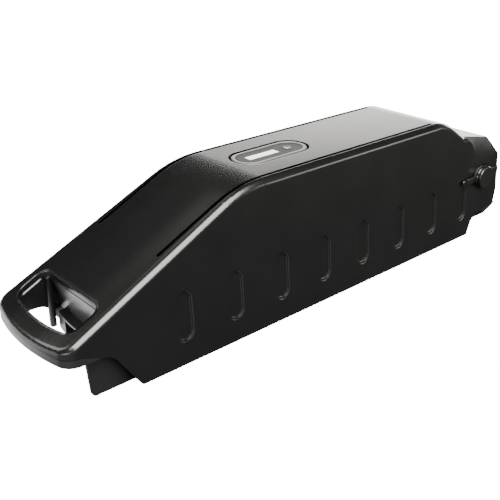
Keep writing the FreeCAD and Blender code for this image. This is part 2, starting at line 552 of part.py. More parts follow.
def charging_inlet():
    """The round charging inlet in the side wall, its rubber cap and the cap's strap."""
    face = "inlet_seat_y + seal_thick + flange_thick"
    back = "inlet_depth - seal_thick - flange_thick"
    socket = fused(
        "socket_body",
        rod("socket_flange", "y", "inlet_x", f"-({face})", "inlet_z", "inlet_flange", "flange_thick"),
        rod("socket_barrel", "y", "inlet_x", f"-({face})", "inlet_z", "inlet_barrel", "inlet_depth"))
    keep("charge_socket", cut("charge_socket", socket, rod(
        "socket_bore", "y", "inlet_x", f"-({face}) - 1", "inlet_z", "inlet_bore", "bore_depth + 1")))
    keep("charge_pin", rod("charge_pin", "y", "inlet_x", f"-({face}) + pin_sunk", "inlet_z", "pin_round",
                           "bore_depth - pin_sunk"))
    keep("socket_seal", cut(
        "socket_seal",
        rod("seal_disc", "y", "inlet_x", "-inlet_seat_y - seal_thick", "inlet_z", "inlet_flange - 0.4",
            "seal_thick"),
        rod("seal_hole", "y", "inlet_x", "-inlet_seat_y - 1", "inlet_z", "inlet_barrel + 0.1", "2")))
    nut = doc.addObject("Part::Prism", "nut_blank")
    nut.Polygon = 6
    bind(nut, Circumradius="nut_round", Height="nut_thick")
    place(nut, "inlet_x", "-nut_y", "inlet_z", "y")
    keep("socket_nut", cut("socket_nut", nut, rod(
        "nut_hole", "y", "inlet_x", "-nut_y - 1", "inlet_z", "inlet_barrel + pilot_gap", "nut_thick + 2")))
    inner = f"{face} + cap_gap"
    tab = slab("cap_tab", "XZ", [
        ("inlet_x + 2", "inlet_z + 1"), ("inlet_x + cap_round + tab_length - 3", "inlet_z + 2"),
        ("inlet_x + cap_round + tab_length - 2", "inlet_z + 6"), ("inlet_x + 3", "inlet_z + 7.5")],
        f"-({inner}) - 2.6", "1.8", [((1, 2), "1.2")])
    keep("charge_cap", fused(
        "charge_cap",
        rod("cap_disc", "y", "inlet_x", f"-({inner}) - cap_thick", "inlet_z", "cap_round", "cap_thick"),
        rod("cap_plug", "y", "inlet_x", f"-({inner}) - 1", "inlet_z", "plug_round", "plug_length + 1"), tab))
    strap_y = f"-({inner}) - strap_thick"
    link = box("strap_link", "strap_x + strap_gap", strap_y, "inlet_z - strap_width / 2",
               "inlet_x - cap_round + 1 - strap_x - strap_gap", "strap_thick", "strap_width")
    keep("cap_strap", cut("cap_strap", link, rod(
        "strap_relief", "y", "inlet_x", f"-({inner}) - cap_thick - 1", "inlet_z", "cap_round",
        "cap_thick + 2")))
    keep("strap_anchor", fused(
        "strap_anchor",
        rod("anchor_disc", "y", "anchor_x", strap_y, "inlet_z", "anchor_head", "strap_thick"),
        rod("anchor_stem", "y", "anchor_x", strap_y, "inlet_z", "anchor_round", "anchor_length"),
        rod("anchor_knob", "y", "anchor_x", f"{strap_y} + anchor_length", "inlet_z", "anchor_head", "1.2")))


def discharge_side():
    """The connector at the rear end of the channel, with its contacts and screws."""
    tall = "channel_top - 2 * fit_gap - plug_low"
    housing = box("plug_block", "plug_x", "-plug_half", "plug_low", "tray_rear - plug_x", "2 * plug_half",
                  tall)
    lanes = [f"{index - BLADES // 2} * blade_pitch" for index in range(BLADES)]
    slots = [box(f"blade_slot{index}", "plug_screw_x + 4", f"{lane} - blade_slot / 2",
                 "plug_low + (channel_top - plug_low - blade_tall) / 2", "tray_rear - plug_screw_x",
                 "blade_slot", "blade_tall") for index, lane in enumerate(lanes)]
    rooms = [fused(f"plug_room{index}",
                   rod(f"plug_hole{index}", "z", "plug_screw_x", y, 0, "screw_round + 0.2", "channel_top"),
                   rod(f"plug_sink{index}", "z", "plug_screw_x", y, 0, "head_round + fit_gap",
                       "plug_low + head_height")) for index, y in enumerate(PLUG_SCREW_Y)]
    keep("discharge_connector", cut("discharge_connector", housing, *slots, *rooms))
    keep("discharge_contacts", group("discharge_contacts", *[
        box(f"blade{index}", "plug_screw_x + 4", f"{lane} + blade_slot / 2 - blade_thick",
            "plug_low + (channel_top - plug_low - blade_tall) / 2 + 0.4",
            "tray_rear - plug_screw_x - 5.5", "blade_thick", "blade_tall - 0.8")
        for index, lane in enumerate(lanes)]))
    keep("connector_screws", group("connector_screws", *[
        screw(f"plug_screw{index}", "z", "plug_screw_x", y, "plug_low", "plug_screw")
        for index, y in enumerate(PLUG_SCREW_Y)]))


def cell_spots():
    """For each row of cells, the places of its cells as pairs of expressions for X and Z."""
    return [[(f"row_x + {place_in_row + shift / 2} * cell_pitch", f"row_z + {row} * row_rise")
             for place_in_row in range(count)]
            for row, (count, shift) in enumerate(zip(CELLS_IN_ROW, ROW_SHIFT))]


def core():
    """The cells in four staggered rows, their two holders, and the strips welded across their ends."""
    spots = cell_spots()
    can_half = "cell_half - cap_height"
    for row, places in enumerate(spots):
        row_cells = []
        for index, (x, z) in enumerate(places):
            side = 1 if index % 2 else -1
            name = f"cell{row}_{index}"
            row_cells.append(fused(
                name, rod(name + "_can", "y", x, f"-({can_half})", z, "cell_round - can_gap",
                          f"2 * ({can_half})"),
                rod(name + "_cap", "y", x, 0 if side > 0 else "-cell_half", z, "cap_radius", "cell_half")))
        keep(f"cell_row_{row + 1}", group(f"cell_row_{row + 1}", *row_cells))
    everything = [spot for places in spots for spot in places]
    reach = "cell_round + holder_lip"
    blank = slab("holder_blank", "XZ", [
        (f"row_x - {reach}", f"row_z - {reach}"), (f"row_x + 13 * cell_pitch + {reach}", f"row_z - {reach}"),
        (f"row_x + 13 * cell_pitch + {reach}", f"row_z + 2.9 * row_rise"),
        (f"row_x + 12.5 * cell_pitch + {reach} / 2", f"row_z + 3 * row_rise + {reach}"),
        (f"row_x + 3.4 * cell_pitch - {reach} / 2", f"row_z + 3 * row_rise + {reach}"),
        ("row_x - cell_pitch", "row_z + 1.3 * row_rise"),
        (f"row_x - cell_pitch / 2 - {reach}", "row_z + row_rise")],
        "cell_half - holder_deep", "holder_deep")
    bores = [rod(f"bore{index}", "y", x, "cell_half - holder_deep - 1", z, "cell_round",
                 "holder_deep + 1 - cap_height") for index, (x, z) in enumerate(everything)]
    windows = [rod(f"weld_window{index}", "y", x, "cell_half - 2", z, "window_round", "4")
               for index, (x, z) in enumerate(everything)]
    holder = keep("cell_holder_left", cut("cell_holder_left", blank, *bores, *windows))
    keep("cell_holder_right", mirrored("cell_holder_right", holder))
    strips = []
    for row, places in enumerate(spots):
        first, last = places[0][0], places[-1][0]
        strips.append(box(f"strip{row}", f"{first} - strip_width / 2", "cell_half",
                          f"row_z + {row} * row_rise - strip_width / 2",
                          f"{last} - ({first}) + strip_width", "strip_thick", "strip_width"))
    left = keep("nickel_strips_left", group("nickel_strips_left", *strips))
    keep("nickel_strips_right", mirrored("nickel_strips_right", left))
    cover = slab("insulation_left", "XZ", [
        ("row_x - 8", "row_z - 8"), ("row_x + 13 * cell_pitch + 8", "row_z - 8"),
        ("row_x + 13 * cell_pitch + 8", "row_z + 2.8 * row_rise"),
        ("row_x + 12 * cell_pitch", "row_z + 3 * row_rise + 6"),
        ("row_x + 3.4 * cell_pitch", "row_z + 3 * row_rise + 6"),
        ("row_x - cell_pitch / 2", "row_z + row_rise + 6")],
        "cell_half + strip_thick + 0.05", "sheet_thick")
    keep("insulation_left", cover)
    keep("insulation_right", mirrored("insulation_right", cover))
    low = "channel_top + tray_floor"
    pads = [box(f"pad{index}", "row_x", f"{sign} * (cell_half - 4) - 3", low, "13 * cell_pitch", "6", "foam")
            for index, sign in enumerate((-1, 1))]
    pads += [box(f"top_pad{index}", "row_x + 9 * cell_pitch", f"{sign} * (cell_half - 4) - 3",
                 f"row_z + 3 * row_rise + {reach} + 0.1", "3 * cell_pitch", "6", "foam")
             for index, sign in enumerate((-1, 1))]
    keep("foam_pads", group("foam_pads", *pads))


def electronics():
    """The battery management board with its parts, and the fuse."""
    face = "bms_x + board"
    keep("bms_board", box("bms_board", "bms_x", "-bms_half", "bms_low", "board", "2 * bms_half",
                          "bms_high - bms_low"))
    middle = "(bms_low + bms_high) / 2"
    keep("bms_mosfets", group("bms_mosfets", *[
        box(f"mosfet{index}", face, f"{index - (MOSFETS - 1) / 2} * 9 - 3.2", f"{middle} + 4", "mosfet",
            "6.4", "9.5") for index in range(MOSFETS)]))
    keep("bms_heatsink", box("bms_heatsink", f"{face} + mosfet", "-bms_half + 1", middle, "sink",
                             "2 * bms_half - 2", f"bms_high - ({middle}) - 4"))
    keep("balance_header", box("balance_header", face, "-14", "bms_low + 3", "6.5", "28", "5.8"))
    tube = rod("fuse_tube", "y", "fuse_x", "-fuse_half", "fuse_z", "fuse_round", "2 * fuse_half")
    keep("fuse_holder", cut("fuse_holder", tube, rod(
        "fuse_bore", "y", "fuse_x", "-fuse_half + 1.5", "fuse_z", "fuse_round - 1.4", "2 * fuse_half - 3")))
    keep("fuse_link", rod("fuse_link", "y", "fuse_x", "-fuse_half + 2", "fuse_z", "fuse_round - 1.6",
                          "2 * fuse_half - 4"))
    keep("thermistor", rod("thermistor", "x", "row_x + 5 * cell_pitch", 14,
                           "row_z + 3 * row_rise + cell_round + holder_lip + 1", "1", "5"))


def lead(label, stops, radius):
    """A wire through stops: straight runs with a tangent arc at each stop between its two ends."""
    points = [FreeCAD.Vector(*[number(part) for part in stop]) for stop in stops]
    edges, start = [], points[0]
    for before, corner, after in zip(points, points[1:], points[2:]):
        back, ahead = (before - corner), (after - corner)
        trim = 0.45 * min(back.Length, ahead.Length)
        enter, leave = corner + back.normalize() * trim, corner + ahead.normalize() * trim
        half = (back + ahead).normalize()
        reach = trim / back.dot(half)
        radius_of_arc = (enter - (corner + half * reach)).Length
        middle = corner + half * (reach - radius_of_arc)
        edges += [Part.LineSegment(start, enter).toShape(), Part.Arc(enter, middle, leave).toShape()]
        start = leave
    edges.append(Part.LineSegment(start, points[-1]).toShape())
    path = Part.Wire(edges)
    ring = Part.Wire([Part.Circle(points[0], points[1] - points[0], number(radius)).toShape()])
    thing = doc.addObject("Part::Feature", label)
    thing.Shape = path.makePipeShell([ring], True, False)
    return keep(label, thing)


def wiring():
    """The leads between the cells, the boards, the inlet and the connector."""
    rear = "row_x + 13 * cell_pitch + cell_round + holder_lip"
    top = "row_z + 3 * row_rise + cell_round + holder_lip"
    lead("positive_lead", [
        (f"{rear} + 0.05", "26", "row_z + 30"), (f"{rear} + 3.3", "26", "row_z + 30"),
        (f"{rear} + 3.3", "31.2", "row_z + 20"), ("bms_x + 12", "31.2", "row_z + 10"),
        ("fuse_x", "26", "fuse_z"), ("fuse_x", "fuse_half", "fuse_z")], "lead_round")
    lead("negative_lead", [
        ("lead_x", "0", "channel_top - fit_gap"), ("lead_x", "0", "channel_top + 5.5"),
        ("lead_x + 3", "-18", "bms_low - 2"), ("bms_x + board + 7", "-21", "bms_low + 10"),
        ("bms_x + board + 0.05", "-21", "bms_low + 10")], "lead_round")
    lead("charge_lead", [("inlet_x", "-inlet_seat_y + inlet_depth - 1.4", "inlet_z"),
                         ("inlet_x", "-17", "inlet_z"), ("inlet_x - 8", "-12", "inlet_z - 4"),
                         ("bms_x + 12", "-12", "bms_low + 15"), ("bms_x + board", "-12", "bms_low + 15")],
         "lead_round * 0.8")
    lead("balance_harness", [
        ("bms_x + board + 3", "-14.05", "bms_low + 6"), ("bms_x + board + 3", "-30.9", "bms_low + 6"),
        ("bms_x - 2", "-30.9", "bms_low + 20"), (f"{rear} + 0.05", "-30.9", "bms_low + 20")],
        "lead_round * 0.8")
    lead("display_lead", [
        ("panel_x + board_half", "0", f"{top} + 1.1"), ("roll_x - 4.6", "0", f"{top} + 1.1"),
        ("roll_x + 7.4", "0", f"{top} - 9.5"), (f"{rear} + 1.7", "0", f"{top} - 21.5"),
        (f"{rear} + 1.7", "0", "bms_high - 10"), ("bms_x - 0.05", "0", "bms_high - 10")],
        "lead_round * 0.6")


def check_document():
    """Stop if a recompute left any object failed, or a kept sub-part empty or invalid."""
    failed = [thing.Name for thing in doc.Objects if {"Invalid", "Error"} & set(thing.State)]
    if failed:
        raise RuntimeError(f"failed objects: {failed}")
    for thing in kept:
        if thing.Shape.isNull() or not thing.Shape.isValid() or not thing.Shape.Solids:
            raise RuntimeError(f"{thing.Label} has no valid solid")


upper_case()
base_tray()
latch_parts()
gasket()
panel()
charging_inlet()
discharge_side()
core()
electronics()
wiring()
doc.recompute()
check_document()
os.makedirs("parts", exist_ok=True)
for piece in kept:
    piece.Shape.exportStep(f"parts/{piece.Label}.step")
print(f"{len(kept)} sub-parts written")
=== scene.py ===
"""Looks of a down-tube battery pack: moulded black case with a ring handle, display panel and capped inlet.

The numbers are metres in the CAD frame: +X from the handle to the connector end, +Z up, -Y the inlet side.
"""

import json
import logging
import math
from dataclasses import dataclass
from enum import Enum

import bmesh
import bpy
import numpy as np
from mathutils import Euler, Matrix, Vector


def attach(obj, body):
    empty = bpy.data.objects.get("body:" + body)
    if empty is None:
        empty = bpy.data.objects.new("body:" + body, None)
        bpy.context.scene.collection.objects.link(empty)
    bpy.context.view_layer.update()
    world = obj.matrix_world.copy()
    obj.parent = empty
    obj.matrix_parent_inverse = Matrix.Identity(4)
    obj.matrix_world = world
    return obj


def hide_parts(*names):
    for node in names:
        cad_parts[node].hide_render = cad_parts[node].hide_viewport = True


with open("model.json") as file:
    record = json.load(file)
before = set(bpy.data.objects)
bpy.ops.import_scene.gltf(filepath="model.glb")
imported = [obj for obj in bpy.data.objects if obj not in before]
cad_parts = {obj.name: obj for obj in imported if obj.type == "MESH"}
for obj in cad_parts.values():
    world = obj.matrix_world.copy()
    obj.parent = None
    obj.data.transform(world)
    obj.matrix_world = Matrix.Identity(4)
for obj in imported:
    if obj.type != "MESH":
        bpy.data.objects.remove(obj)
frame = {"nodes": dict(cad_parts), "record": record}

log = logging.getLogger("battery_pack")
MM = 0.001
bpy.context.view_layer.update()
SHARP = math.radians(28.0)
FLOOR_HALF, FLOOR_Z = 6.0, -0.2 * MM


class Family(Enum):
    """The kinds of finish, each with its own pattern of wear and grain."""

    MOULDED = "moulded"
    METAL = "metal"
    RUBBER = "rubber"
    SLEEVE = "sleeve"
    BOARD = "board"


@dataclass(frozen=True)
class Finish:
    """What a surface looks like.

    Attributes:
        slot: Name of the record's material slot.
        family: Which pattern the finish has.
        colour: Linear base colour.
        rough: Middle roughness.
        metallic: How metallic the surface is.
        grain: Number of grain cells in a metre.
        relief: Depth of the grain in metres.
        coat: Weight of a clear coat.
    """

    slot: str
    family: Family
    colour: tuple[float, float, float]
    rough: float = 0.45
    metallic: float = 0.0
    grain: float = 1800.0
    relief: float = 2.0e-6
    coat: float = 0.0


class Wire:
    """One output socket of a node tree, with arithmetic that adds Math nodes."""

    def __init__(self, tree: bpy.types.NodeTree, socket: bpy.types.NodeSocket) -> None:
        """Wrap a socket.

        Args:
            tree: The node tree the socket is in.
            socket: The output socket.
        """
        self.tree = tree
        self.socket = socket

    def node(self, kind: str, inputs: dict, output: int | str = 0, **settings) -> "Wire":
        """Add a node of any kind and wrap one of its outputs.

        Args:
            kind: The node's type name.
            inputs: Values or wires by input index or name.
            output: Which output to wrap.
            **settings: Properties set on the node first.

        Returns:
            The chosen output as a Wire.
        """
        made = self.tree.nodes.new(kind)
        for name, value in settings.items():
            setattr(made, name, value)
        for key, value in inputs.items():
            if isinstance(value, Wire):
                self.tree.links.new(value.socket, made.inputs[key])
            else:
                made.inputs[key].default_value = value
        return Wire(self.tree, made.outputs[output])

    def math(self, operation: str, *others: "Wire | float", first: "Wire | float | None" = None) -> "Wire":
        """Add a Math node whose first input is this wire, or another value given as first."""
        start = self if first is None else first
        return self.node("ShaderNodeMath", dict(enumerate((start, *others))), operation=operation)

    def __add__(self, other: "Wire | float") -> "Wire":
        """This wire plus another value."""
        return self.math("ADD", other)

    def __sub__(self, other: "Wire | float") -> "Wire":
        """This wire less another value."""
        return self.math("SUBTRACT", other)

    def __mul__(self, other: "Wire | float") -> "Wire":
        """This wire times another value."""
        return self.math("MULTIPLY", other)

    def __rsub__(self, other: float) -> "Wire":
        """A number less this wire."""
        return self.math("SUBTRACT", self, first=other)

    def __neg__(self) -> "Wire":
        """This wire with its sign changed."""
        return self.math("MULTIPLY", -1.0)

    def __abs__(self) -> "Wire":
        """The size of this wire without its sign."""
        return self.math("ABSOLUTE")

    def at_least(self, low: "Wire | float") -> "Wire":
        """The larger of this wire and another value."""
        return self.math("MAXIMUM", low)

    def ramp(self, low: float, high: float) -> "Wire":
        """A smooth step from 0 at low to 1 at high."""
        inputs = {0: self, 1: low, 2: high, 3: 0.0, 4: 1.0}
        return self.node("ShaderNodeMapRange", inputs, interpolation_type="SMOOTHSTEP")

    def mix(self, first: "Wire | tuple", second: tuple) -> "Wire":
        """A colour between two others, with this wire as the share of the second."""
        below = first if isinstance(first, Wire) else (*first, 1.0)
        return self.node("ShaderNodeMix", {0: self, 6: below, 7: (*second, 1.0)}, output=2, data_type="RGBA")


@dataclass
class Coordinates:
    """The object's own coordinates in a material, as one vector and three numbers."""

    vector: Wire
    x: Wire
    y: Wire
    z: Wire

    @classmethod
    def of(cls, tree: bpy.types.NodeTree) -> "Coordinates":
        """Add the nodes that read the object's coordinates to a tree."""
        source = tree.nodes.new("ShaderNodeTexCoord")
        vector = Wire(tree, source.outputs["Object"])
        split = tree.nodes.new("ShaderNodeSeparateXYZ")
        tree.links.new(vector.socket, split.inputs[0])
        return cls(vector, *[Wire(tree, split.outputs[axis]) for axis in range(3)])

    def noise(self, scale: float, detail: float = 3.0) -> Wire:
        """Fractal noise from 0 to 1 with a number of cells in a metre."""
        inputs = {"Vector": self.vector, "Scale": scale, "Detail": detail, "Roughness": 0.55}
        return self.vector.node("ShaderNodeTexNoise", inputs, noise_dimensions="3D")

    def capsule(self, across: Wire, along: Wire, straight: float, radius: float) -> Wire:
        """Distance to the rim of a stadium, negative inside.

        Args:
            across: Distance from its middle line.
            along: Distance from its middle, along the line.
            straight: Half length of its straight sides.
            radius: Radius of its ends.

        Returns:
            The root of across squared plus the overshoot along squared, less the radius.
        """
        over = (abs(along) - straight).at_least(0.0)
        return (across * across + over * over).math("SQRT") - radius


class Relief:
    """Shading of the case: rounded rims, a slight crown, painted shade in the grooves and the panel's seat,
    the finger hole's lighter matt faces with painted light and shade, and painted highlights on the recesses'
    rear rims.
    """

    RIB_FIRST, RIB_PITCH, RIB_Z = -117.8 * MM, 38.0 * MM, 30.2 * MM
    RIB_HALF, RIB_STRAIGHT = 5.3 * MM, 9.9 * MM
    GROOVE_Y, GROOVE_HALF = 30.0 * MM, 1.1 * MM
    GROOVE_MIDDLE, GROOVE_STRAIGHT = -7.1 * MM, 119.3 * MM
    PANEL_X, PANEL_STRAIGHT, PANEL_ROUND = -16.4 * MM, 17.25 * MM, 13.25 * MM
    BEND_X, SLOPE, TOP = -68.6 * MM, 0.4736, 95.5 * MM
    HOLE_BACK, HOLE_HALF, HOLE_ROUND = -165.3 * MM, 30.2 * MM, 6.0 * MM
    BOW_X, BOW_ROUND = -58.2 * MM, 129.6 * MM
    POCKET_X, POCKET_HALF, POCKET_SIDE = -158.0 * MM, 12.0 * MM, 30.6 * MM
    WALL, HIGH, PANEL_HIGH = (34.0 * MM, 36.0 * MM), (45.0 * MM, 47.0 * MM), (90.0 * MM, 91.0 * MM)
    CROWN = -0.9 * MM

    def __init__(self, place: Coordinates) -> None:
        """Keep the coordinates the relief is worked out from."""
        self.place = place

    @staticmethod
    def rim(distance: Wire, reach: float, drop: float) -> Wire:
        """A height that falls by drop towards a rim outside it, and rises towards the rim inside it."""
        outside = distance.ramp(0.0, reach) * drop - drop
        inside = drop - (-distance).ramp(0.0, reach) * drop
        inner = distance.math("LESS_THAN", 0.0)
        return outside + inner * (inside - outside)

    def rib_spot(self) -> tuple[Wire, Wire, Wire]:
        """Find the nearest upright recess.

        Returns:
            Place along X from its middle, distance to its rim, and 1 on the stretch of wall with recesses.
        """
        x, z = self.place.x, self.place.z
        turn = (x - (self.RIB_FIRST - self.RIB_PITCH / 2)).math("FLOORED_MODULO", self.RIB_PITCH)
        turn = turn - self.RIB_PITCH / 2
        distance = self.place.capsule(turn, z - self.RIB_Z, self.RIB_STRAIGHT, self.RIB_HALF)
        on_wall = abs(self.place.y).ramp(*self.WALL)
        middle = self.RIB_FIRST + 3.5 * self.RIB_PITCH
        in_row = 1.0 - abs(x - middle).ramp(3.9 * self.RIB_PITCH, 3.95 * self.RIB_PITCH)
        return turn, distance, on_wall * in_row

    def ribs(self) -> Wire:
        """The rims of the upright recesses, which repeat along the pack."""
        _, distance, shown = self.rib_spot()
        return self.rim(distance, 1.2 * MM, 0.26 * MM) * shown

    def rib_edge_highlight(self) -> Wire:
        """1 on the rear rim of each upright recess, where a highlight is painted in a lighter colour."""
        turn, distance, shown = self.rib_spot()
        band = 1.0 - abs(distance).ramp(0.25 * MM, 0.75 * MM)
        return band * turn.ramp(1.0 * MM, 4.0 * MM) * shown

    def groove_distance(self) -> Wire:
        """Distance to the rim of the nearer long groove."""
        across, along = abs(self.place.y) - self.GROOVE_Y, self.place.x - self.GROOVE_MIDDLE
        return self.place.capsule(across, along, self.GROOVE_STRAIGHT, self.GROOVE_HALF)

    def seat_distance(self) -> Wire:
        """Distance to the rim of the panel's seat."""
        along = self.place.x - self.PANEL_X
        return self.place.capsule(self.place.y, along, self.PANEL_STRAIGHT, self.PANEL_ROUND)

    def grooves(self) -> Wire:
        """The rims of the two long grooves."""
        return self.rim(self.groove_distance(), 0.5 * MM, 0.06 * MM) * self.place.z.ramp(*self.HIGH)

    def panel(self) -> Wire:
        """The rim of the panel's seat."""
        return self.rim(self.seat_distance(), 0.5 * MM, 0.1 * MM) * self.place.z.ramp(*self.PANEL_HIGH)

    def before_bend(self) -> Wire:
        """1 ahead of the bend between the leaning face and the top, fading to 0 behind it."""
        return 1.0 - self.place.x.ramp(self.BEND_X - 30.0 * MM, self.BEND_X + 10.0 * MM)

    def above_slope(self) -> Wire:
        """Height above the plane of the leaning front face."""
        return self.place.z - ((self.place.x - self.BEND_X) * self.SLOPE + self.TOP)

    def on_slope(self) -> Wire:
        """1 on the leaning front face and 0 well below it or behind the bend."""
        return self.above_slope().ramp(-5.0 * MM, -3.0 * MM) * self.before_bend()

    def pocket_matt_and_lit(self) -> Wire:
        """1 on the near part of the inner faces of the finger hole behind the handle and 0 elsewhere. There
        the colour is a lighter matt grey, partly the faces' own finish and partly painted light, and the far
        part stays dark as painted shade.
        """
        low = (-self.above_slope()).ramp(4.0 * MM, 6.0 * MM)
        # Painted shade: the lighter colour stops short of the far side, which stays dark where the ring's far
        # wall shades the back wall.
        lit_near_side = 1.0 - self.place.y.ramp(12.0 * MM, 24.0 * MM)
        inside = (-self.place.y).math("LESS_THAN", self.POCKET_SIDE)
        along = 1.0 - abs(self.place.x - self.POCKET_X).ramp(self.POCKET_HALF, self.POCKET_HALF + 2.0 * MM)
        return low * (lit_near_side * inside) * along

    def matt_and_shade(self) -> Wire:
        """1 in and just beside the long grooves and the panel's seat. There the case is rougher and metallic
        with its near-black colour, so it reflects almost nothing: painted shade that draws the grooves and the
        seat as dark lines.
        """
        groove = (-self.groove_distance()).ramp(-0.45 * MM, -0.2 * MM)
        seat = (-self.seat_distance()).ramp(-0.4 * MM, -0.15 * MM)
        return groove.at_least(seat) * self.place.z.ramp(*self.HIGH)

    def hole(self) -> Wire:
        """The rim of the finger hole: straight sides and back, a bowed front and round corners."""
        x, y = self.place.x, self.place.y
        front = ((x - self.BOW_X) * (x - self.BOW_X) + y * y).math("SQRT") - self.BOW_ROUND
        along = ((x - self.HOLE_BACK).at_least(front) + self.HOLE_ROUND).at_least(0.0)
        across = (abs(y) - (self.HOLE_HALF - self.HOLE_ROUND)).at_least(0.0)
        distance = (along * along + across * across).math("SQRT") - self.HOLE_ROUND
        return self.rim(distance, 1.7 * MM, 0.9 * MM) * self.on_slope()

    def crown(self) -> Wire:
        """A slight crown across the leaning face: its height falls in one smooth step on the way out."""
        return abs(self.place.y).ramp(12.0 * MM, 37.0 * MM) * self.CROWN * self.before_bend()

    def height(self) -> Wire:
        """All the rims together."""
        return self.ribs() + self.grooves() + self.panel() + self.hole() + self.crown()


class Painter:
    """Makes one material for each finish and gives it to pieces."""

    # A lighter matt colour for the finger hole's near side, partly its own finish and partly painted light,
    # and a painted highlight colour for the recesses' rear rims.
    BARE, RUBBED = (0.055, 0.058, 0.058), (0.011, 0.0115, 0.0115)
    COAT_ROUGH, INDEX = 0.12, 1.5
    SPREAD = {Family.MOULDED: 0.05, Family.METAL: 0.14, Family.RUBBER: 0.08, Family.SLEEVE: 0.05,
              Family.BOARD: 0.1}

    def __init__(self) -> None:
        """Start with no materials."""
        self.made: dict[str, bpy.types.Material] = {}

    def material(self, finish: Finish, relief: bool = False) -> bpy.types.Material:
        """The material of a finish.

        Args:
            finish: The finish to make.
            relief: Whether the case's rims are shaded in.

        Returns:
            The material, made the first time it is asked for.
        """
        name = finish.slot + ("_relief" if relief else "")
        if name in self.made:
            return self.made[name]
        material = bpy.data.materials.new(name)
        material.use_nodes = True
        tree = material.node_tree
        shader = tree.nodes["Principled BSDF"]
        place = Coordinates.of(tree)
        broad, fine = place.noise(28.0), place.noise(finish.grain, 2.0)
        colour, rough = self.pattern(finish, place, broad, fine)
        height = fine * finish.relief
        if relief:
            shape = Relief(place)
            height = height + shape.height()
            matt_and_shade = shape.matt_and_shade()
            rough = rough + matt_and_shade * 0.3
            # Painted shade: the grooves and the panel's seat turn metallic with the case's near-black colour,
            # so they reflect almost nothing and read as shadowed lines.
            tree.links.new(matt_and_shade.socket, shader.inputs["Metallic"])
            # Painted light: the rear rims of the recesses get a lighter colour as a painted highlight. The
            # finger hole's near side gets a lighter matt colour, partly its own finish and partly painted
            # light, and its far side stays dark as painted shade.
            colour = shape.rib_edge_highlight().mix(shape.pocket_matt_and_lit().mix(colour, self.BARE), self.RUBBED)
        bump = fine.node("ShaderNodeBump", {"Strength": 1.0, "Distance": 1.0, "Height": height})
        shader.inputs["Metallic"].default_value = finish.metallic
        shader.inputs["Coat Weight"].default_value = finish.coat
        shader.inputs["Coat Roughness"].default_value = self.COAT_ROUGH
        shader.inputs["IOR"].default_value = self.INDEX
        for wire, name_of_input in ((colour, "Base Color"), (rough, "Roughness"), (bump, "Normal")):
            tree.links.new(wire.socket, shader.inputs[name_of_input])
        self.made[name] = material
        return material

    @staticmethod
    def pattern(finish: Finish, place: Coordinates, broad: Wire, fine: Wire) -> tuple[Wire, Wire]:
        """The colour and roughness of a finish's family.

        Args:
            finish: The finish.
            place: The material's coordinates.
            broad: Slow noise.
            fine: Grain noise.

        Returns:
            The colour and the roughness.
        """
        dark = tuple(0.82 * part for part in finish.colour)
        light = tuple(min(1.0, 1.15 * part + 0.001) for part in finish.colour)
        spread = Painter.SPREAD[finish.family]
        rough = (broad - 0.5) * spread + (fine - 0.5) * (0.4 * spread) + finish.rough
        if finish.family is Family.METAL:
            streak = place.vector.node("ShaderNodeTexNoise", {
                "Vector": place.vector.node("ShaderNodeVectorMath", {0: place.vector, 1: (900.0, 60.0, 900.0)},
                                            operation="MULTIPLY"), "Scale": 1.0, "Detail": 2.0})
            return streak.mix(dark, light), rough + (streak - 0.5) * 0.2
        if finish.family is Family.BOARD:
            tracks = (place.y * 900.0).math("SINE") * (place.z * 700.0).math("SINE")
            return tracks.ramp(0.5, 0.62).mix(dark, light), rough
        if finish.family is Family.SLEEVE:
            seam = place.noise(140.0).ramp(0.35, 0.65)
            return seam.mix(dark, light), rough
        return broad.mix(dark, light), rough

    def paint(self, piece: bpy.types.Object, finish: Finish, relief: bool = False) -> None:
        """Give a piece its finish."""
        piece.data.materials.clear()
        piece.data.materials.append(self.material(finish, relief))


